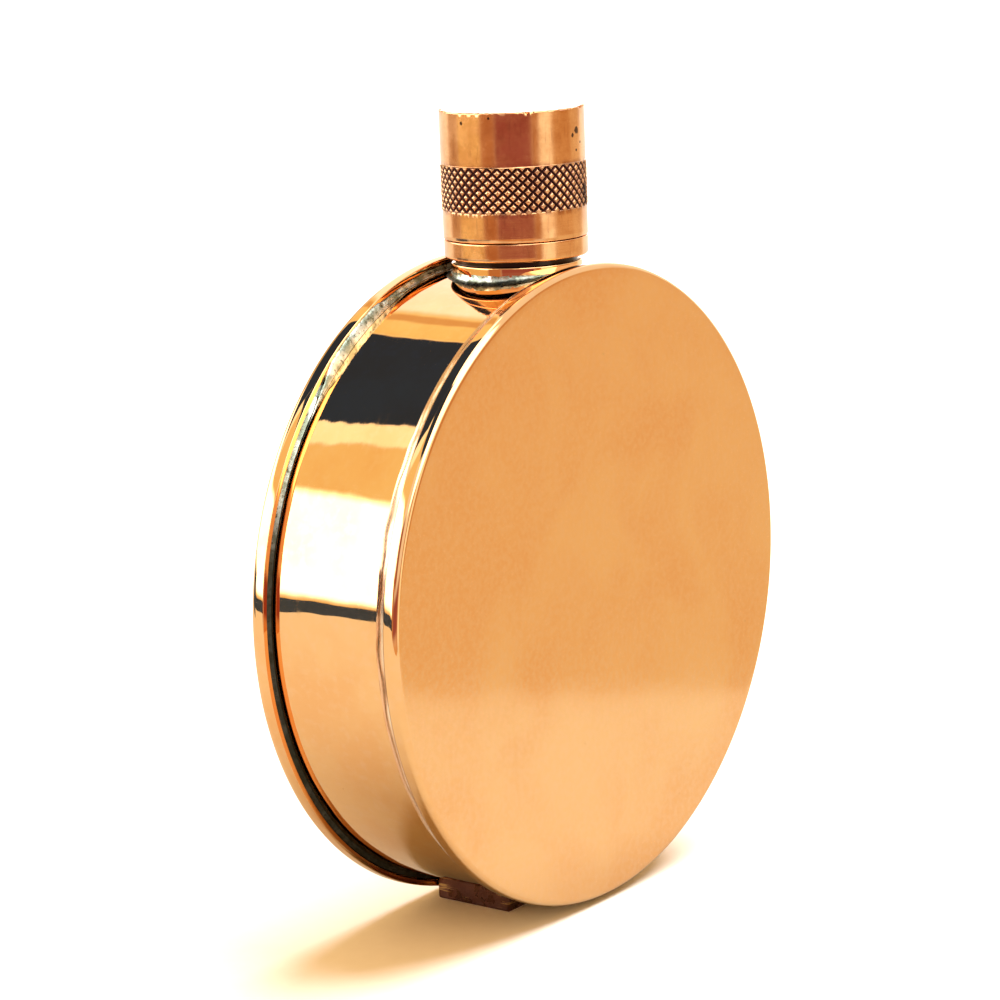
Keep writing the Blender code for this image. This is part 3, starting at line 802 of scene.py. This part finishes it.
def cap(material):
    """Turned cap. Its grip is cut by two crossing sets of slanting grooves, which leave diamonds.
    Knocks have left small dents along its top edge."""
    edge = 0.14 * MM
    ledge = 0.30 * MM
    run_out = 0.40 * MM
    ridge = 0.10 * MM
    big_knock, small_knock = 0.38 * MM, 0.18 * MM
    outline = [(0.0, CAP_TOP)] + [(r * MM, CAP_TOP) for r in (2, 4, 6, 8, 9.5, 10.5, 11.0)]
    outline += bend(CAP_R - edge, CAP_TOP - edge, edge, 90, 0, 4)
    outline += run((CAP_R, CAP_TOP - 0.25 * MM), (CAP_R, KNURL_TOP + ledge), 0.5 * MM)
    outline += run((CAP_R, KNURL_TOP + ledge), (CAP_R, KNURL_TOP), ledge / 6)
    outline += run((CAP_R, KNURL_TOP), (CAP_R, KNURL_BOTTOM), KNURL_ROW / KNURL_STEPS)
    outline += run((CAP_R, KNURL_BOTTOM), (CAP_R, KNURL_BOTTOM - run_out), run_out / 5)
    outline += run((CAP_R, KNURL_BOTTOM - run_out), (CAP_R, CAP_BOTTOM + 0.15 * MM), 0.7 * MM)
    outline += [(CAP_R, CAP_BOTTOM + 0.15 * MM), (CAP_R - 0.05 * MM, CAP_BOTTOM + 0.04 * MM),
                (CAP_R - 0.15 * MM, CAP_BOTTOM), (CAVITY_R, CAP_BOTTOM), (CAVITY_R, CAP_TOP - CROWN),
                (0.0, CAP_TOP - CROWN)]

    def knock(angle):
        place = neck_place(CAP_R, 0, angle)
        big = smoothstep(0.0, 0.45, waves(place, 2.4 * MM, 40.0))
        small = smoothstep(0.0, 0.40, waves(place, 0.8 * MM, 41.0))
        return big_knock * big + small_knock * small

    def offset(r, along, angle):
        if r > CAP_R - edge * 1.05 and along > CAP_TOP - edge * 1.2:
            dent = knock(angle)
            top_share = smoothstep(CAP_TOP - edge * 1.2, CAP_TOP, along)
            return -dent * 0.8 * top_share, -dent * (0.25 + 0.75 * top_share)
        if r < CAP_R - 0.01 * MM or not KNURL_BOTTOM - run_out < along < KNURL_TOP + ledge:
            return 0.0, 0.0
        if along > KNURL_TOP + 0.001 * MM:
            share = (along - KNURL_TOP) / ledge
            return ridge * math.sin(math.pi * min(1.0, share * 1.5)) ** 2 * (share < 0.667), 0.0
        u = KNURL_COUNT * angle / (2 * math.pi)
        v = (along - KNURL_BOTTOM) / KNURL_ROW
        across = min(1 - abs(2 * ((u + v) % 1.0) - 1), 1 - abs(2 * ((u - v) % 1.0) - 1))
        diamond = 0.80 * smoothstep(-0.05, 0.72, across) + 0.20 * math.sin(math.pi / 2 * across)
        band = smoothstep(KNURL_BOTTOM - run_out, KNURL_BOTTOM + 0.10 * MM, along)
        return band * (KNURL_CREST_R - CAP_R - KNURL_DEPTH * (1 - diamond)), 0.0

    obj = turned("knurled_cap", outline, KNURL_COUNT * KNURL_STEPS, neck_place, offset, 60)
    return finish_piece(obj, "cap", ["cap_shell"], [material])


def foot(material):
    """Saddle block under the band, with broken edges."""
    soft = 0.35 * MM
    top_r = WALL_R + 0.05 * MM
    half = FOOT_X - 0.02 * MM
    outline = [(-half, 0.0), (half, 0.0)]
    for i in range(25):
        x = half - 2 * half * i / 24
        outline.append((x, AXIS_Z - math.sqrt(top_r ** 2 - x ** 2)))
    work = bmesh.new()
    ends = []
    for y in (FOOT_FRONT_Y, FOOT_BACK_Y):
        ends.append([work.verts.new((x, y, z)) for x, z in outline])
        work.faces.new(ends[-1])
    for j in range(len(outline)):
        k = (j + 1) % len(outline)
        work.faces.new((ends[0][j], ends[0][k], ends[1][k], ends[1][j]))
    obj = new_piece("foot_block", work)
    edges = obj.modifiers.new("broken_edges", "BEVEL")
    edges.width = soft
    edges.segments = 3
    edges.limit_method = "ANGLE"
    edges.angle_limit = math.radians(40)
    return finish_piece(obj, "flask", ["base_foot"], [material])


# ---------------------------------------------------------------------- studio


PAPER_FRONT = (125, 0.136)      # the reflected paper ends at this azimuth and distance
PAPER_NEAR = (-145, 0.25)
PAPER_R = 0.63
RAIL_AWAY = 0.22                # a dark rail curves round the drum's left side, between two azimuths
RAIL_HEIGHT = (0.0330, 0.0478)
RAIL = (-86, -14)
BLOCK = ((-158, 162), (-72, 232))   # a dark block on the left, nearer by: its ends in mm
BLOCK_HEIGHT = (0.026, 0.067)
KEY_ENERGY = 5.4
KEY_SPREAD = 50                 # degrees
KEY_LEAN = (8, 20)              # degrees about X and Y
WARM_FILL = (1.18, 0.72, 0.29)  # what lights the floor where the key is shaded


def flat_material(name, colour):
    """Card and paper, with a faint fibre."""
    material, graph, shader = new_material(name, 0.0)
    fibre = graph.level(graph.noise(2.5 * MM, 4.0), 0.3, 0.7)
    low = tuple(0.985 * c for c in colour)
    graph.put(shader["Base Color"], graph.mix(fibre, low, colour))
    shader["Roughness"].default_value = 0.9
    shader["Specular IOR Level"].default_value = 0.0
    return material


def stage_sheet(name, points, faces, material, only_reflected):
    mesh = bpy.data.meshes.new(name)
    mesh.from_pydata(points, [], faces)
    mesh.materials.append(material)
    obj = bpy.data.objects.new(name, mesh)
    bpy.context.scene.collection.objects.link(obj)
    if only_reflected:
        obj.visible_camera = False
        obj.visible_diffuse = False
        obj.visible_shadow = False
    return obj


def floor():
    """A pale floor for the camera, and over it what only the copper's reflections see: a paper, a dark
    rail and a dark block."""
    pale = flat_material("pale_floor", (0.93, 0.93, 0.93))
    paper = flat_material("pale_paper", (0.385, 0.430, 0.435))
    size = 3.0
    above_floor = 0.05 * MM
    corners = [(-size, -size, 0.0), (size, -size, 0.0), (size, size, 0.0), (-size, size, 0.0)]
    ground = stage_sheet("floor", corners, [(0, 1, 2, 3)], pale, False)
    ground.visible_glossy = False
    points = [(0.0, 0.0, above_floor)]
    count = 180
    for i in range(count):
        azimuth = 360 * i / count
        distance = PAPER_R
        for toward, limit in (PAPER_FRONT, PAPER_NEAR):
            facing = math.cos(math.radians(azimuth - toward))
            if facing > 0:
                distance = min(distance, limit / facing)
        points.append((*(compass(azimuth) * distance).xy, above_floor))
    faces = [(0, 1 + (i + 1) % count, 1 + i) for i in range(count)]
    stage_sheet("reflected_paper", points, faces, paper, True)
    black = flat_material("black_rail", BLACK_CARD)
    points, faces = [], []
    first, last = RAIL
    for i, azimuth in enumerate(range(first, last + 1, 2)):
        post = Vector((-WALL_R, 0.0, 0.0)) + compass(azimuth) * RAIL_AWAY
        points += [(post.x, post.y, z) for z in RAIL_HEIGHT]
        if i:
            faces.append((2 * i - 2, 2 * i, 2 * i + 1, 2 * i - 1))
    stage_sheet("reflected_rail", points, faces, black, True)
    ends = [Vector((x * MM, y * MM, 0.0)) for x, y in BLOCK]
    low, high = (Vector((0.0, 0.0, z)) for z in BLOCK_HEIGHT)
    points = [ends[0] + low, ends[1] + low, ends[1] + high, ends[0] + high]
    stage_sheet("reflected_block", points, [(0, 1, 2, 3)], black, True)


# What the copper reflects: azimuth range, elevation range, softness of the edges in degrees, light.
# Later ones lie over earlier ones.
SURROUNDINGS = (
    ((58, 182), (-60, 14), 6.0, (0.86, 0.64, 0.38)),        # warm room beyond the paper
    ((125.5, 182), (-60, 14), 2.0, (0.90, 0.70, 0.43)),
    ((58, 182), (-60, -8.5), 3.5, (0.90, 0.72, 0.45)),
    ((-30, 100), (-30, 30), 6.0, (1.30, 1.25, 1.15)),       # white backdrop
    ((36, 80), (0.5, 9), 1.5, (3.20, 3.20, 3.20)),
    ((33, 75), (16, 62), 1.2, (1.75, 1.52, 1.55)),          # cream ceiling over it
    ((18.5, 33), (38, 62), 2.0, (1.14, 1.00, 0.50)),
    ((28.0, 31.5), (38, 62), 0.8, (0.86, 0.58, 0.26)),
    ((-27, 18.8), (33, 75), 0.35, (0.031, 0.054, 0.120)),   # black flag overhead
    ((-132, -27), (48, 75), 1.2, (0.031, 0.054, 0.120)),
    ((-34, -27), (34, 49), 0.5, (1.50, 1.52, 1.30)),        # pale strip beside the flag
    ((-84, -34), (26, 49), 0.8, (1.02, 0.86, 0.46)),
    ((-82, -3), (-1.5, 27), 1.6, (4.40, 4.40, 4.40)),       # softbox
    ((-6, 7), (10, 27), 1.6, (4.40, 4.40, 4.40)),
    ((7, 36), (3, 33), 2.5, (0.80, 0.66, 0.36)),            # golden glow beside it
    ((-75, -30), (-14, -2), 1.0, (0.95, 0.74, 0.36)),       # warm room below the softbox
    ((-30, -6), (-16, -2), 4.0, (0.64, 0.42, 0.25)),
    ((-99, -75), (-16, 12), 3.0, (0.56, 0.27, 0.13)),
    ((-120, -94), (6, 27), 3.0, (0.42, 0.16, 0.12)),        # dark side behind the camera
    ((-158, -99), (-10, 3), 3.0, (0.36, 0.11, 0.11)),
    ((-158, -92), (-24, -10), 3.0, (0.80, 0.45, 0.22)),
    ((-170, -158), (-16, 22), 3.0, (0.60, 0.32, 0.16)),
    ((-193, -170), (-16, 26), 2.0, (1.30, 1.26, 1.10)),     # bright strip
    ((128, 167), (-7, 14), 4.0, (0.66, 0.36, 0.15)),
    ((-208, -132), (25, 90), 3.0, (4.20, 4.20, 4.20)),      # overhead light on the camera's side
    ((-180, 180), (75, 91), 1.0, (3.60, 3.60, 3.60)),       # and straight above
)


def studio_light():
    """Plain white behind, and for reflections the surroundings listed above. The floor is lit by one
    soft overhead key, which the copper doesn't mirror, and by a warm fill."""
    world = bpy.data.worlds.new("studio")
    bpy.context.scene.world = world
    world.use_nodes = True
    world.node_tree.nodes.clear()
    graph = Graph(world.node_tree)
    direction = graph.add("ShaderNodeSeparateXYZ")
    graph.put(direction.inputs[0], graph.add("ShaderNodeTexCoord").outputs["Generated"])
    x, y, z = direction.outputs
    degrees = 180 / math.pi
    azimuth = graph.math("MULTIPLY", graph.math("ARCTAN2", x, y), degrees)
    elevation = graph.math("MULTIPLY", graph.math("ARCSINE", z), degrees)

    def inside(value, low, high, soft, wraps):
        middle, half = (low + high) / 2, (high - low) / 2
        away = graph.math("SUBTRACT", value, middle)
        if wraps:
            away = graph.math("WRAP", away, 180.0, -180.0)
        return graph.level(graph.math("ABSOLUTE", away), half - soft, half + soft, 1.0, 0.0)

    seen = graph.mix(graph.level(elevation, -20.0, 60.0), (0.98, 0.95, 0.90), (1.05, 1.04, 1.02))
    for (az_low, az_high), (el_low, el_high), soft, light in SURROUNDINGS:
        share = graph.math("MULTIPLY", inside(azimuth, az_low, az_high, soft, True),
                           inside(elevation, el_low, el_high, soft, False))
        seen = graph.mix(share, seen, light)
    path = graph.add("ShaderNodeLightPath")
    colour = graph.mix(path.outputs["Is Glossy Ray"], WARM_FILL, seen)
    colour = graph.mix(path.outputs["Is Camera Ray"], colour, (1.0, 1.0, 1.0))
    background = graph.add("ShaderNodeBackground")
    output = graph.add("ShaderNodeOutputWorld")
    graph.put(background.inputs["Color"], colour)
    graph.put(output.inputs["Surface"], background.outputs[0])
    world.cycles.sampling_method = "NONE"
    key = bpy.data.lights.new("overhead_key", "SUN")
    key.energy = KEY_ENERGY
    key.angle = math.radians(KEY_SPREAD)
    lamp = bpy.data.objects.new("overhead_key", key)
    lamp.rotation_euler = (math.radians(KEY_LEAN[0]), math.radians(KEY_LEAN[1]), 0.0)
    lamp.visible_glossy = False
    bpy.context.scene.collection.objects.link(lamp)


def camera():
    """From the left and a little above, with a long lens."""
    data = bpy.data.cameras.new("camera")
    data.sensor_width = 36.0
    data.lens = 114.43
    data.clip_start = 0.01
    data.clip_end = 20.0
    obj = bpy.data.objects.new("camera", data)
    bpy.context.scene.collection.objects.link(obj)
    turn, tilt, roll = -0.9136, 0.2039, -0.0392
    standpoint = Vector((-0.39905, -0.30267, 0.16876))
    right = Vector((math.cos(turn), math.sin(turn), 0.0))
    back = Vector((math.sin(turn) * math.cos(tilt), -math.cos(turn) * math.cos(tilt), math.sin(tilt)))
    up = back.cross(right)
    across = right * math.cos(roll) + up * math.sin(roll)
    upward = up * math.cos(roll) - right * math.sin(roll)
    pose = Matrix((across, upward, back)).transposed().to_4x4()
    pose.translation = standpoint
    obj.matrix_world = pose
    bpy.context.scene.camera = obj
    bpy.context.scene.view_settings.view_transform = "Standard"


# ------------------------------------------------------------------------ make

camera()
studio_light()
floor()

mirror = polished_copper()
satin = satin_copper()
lathe = turned_copper("turned_copper", False)
knurled = turned_copper("knurled_copper", True)
silver = solder("neck_solder_metal", 0.85 * MM, AXIS_Z)
# The seam solder carries painted shade, mixed with dark flux, below 21 mm over the axis.
bead_metal = solder("seam_solder_metal", 0.16 * MM, AXIS_Z + 21 * MM)

cover("front_panel", "front_cover", FRONT_R, FACE_Y, FRONT_EDGE_Y, FRONT_CORNER, FRONT_BURNISH, 2.0,
      satin, mirror)
cover("back_panel", "back_cover", BACK_R, BACK_Y, BACK_EDGE_Y, BACK_CORNER, BACK_BURNISH, 7.0,
      satin, mirror)
wall(mirror)
front_fillet(copper_fillet())
back_bead(bead_metal)
neck_bead(silver)
collar(mirror)
spout(lathe)
foot(dark_copper())
cap(knurled)
thread_insert(turned_brass())
seal(seal_rubber())

# The seam inside the band is out of sight, so its CAD solid stays, with the solder's look.
inner_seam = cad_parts["wall_seam_solder"]
inner_seam.data.materials.clear()
inner_seam.data.materials.append(bead_metal)
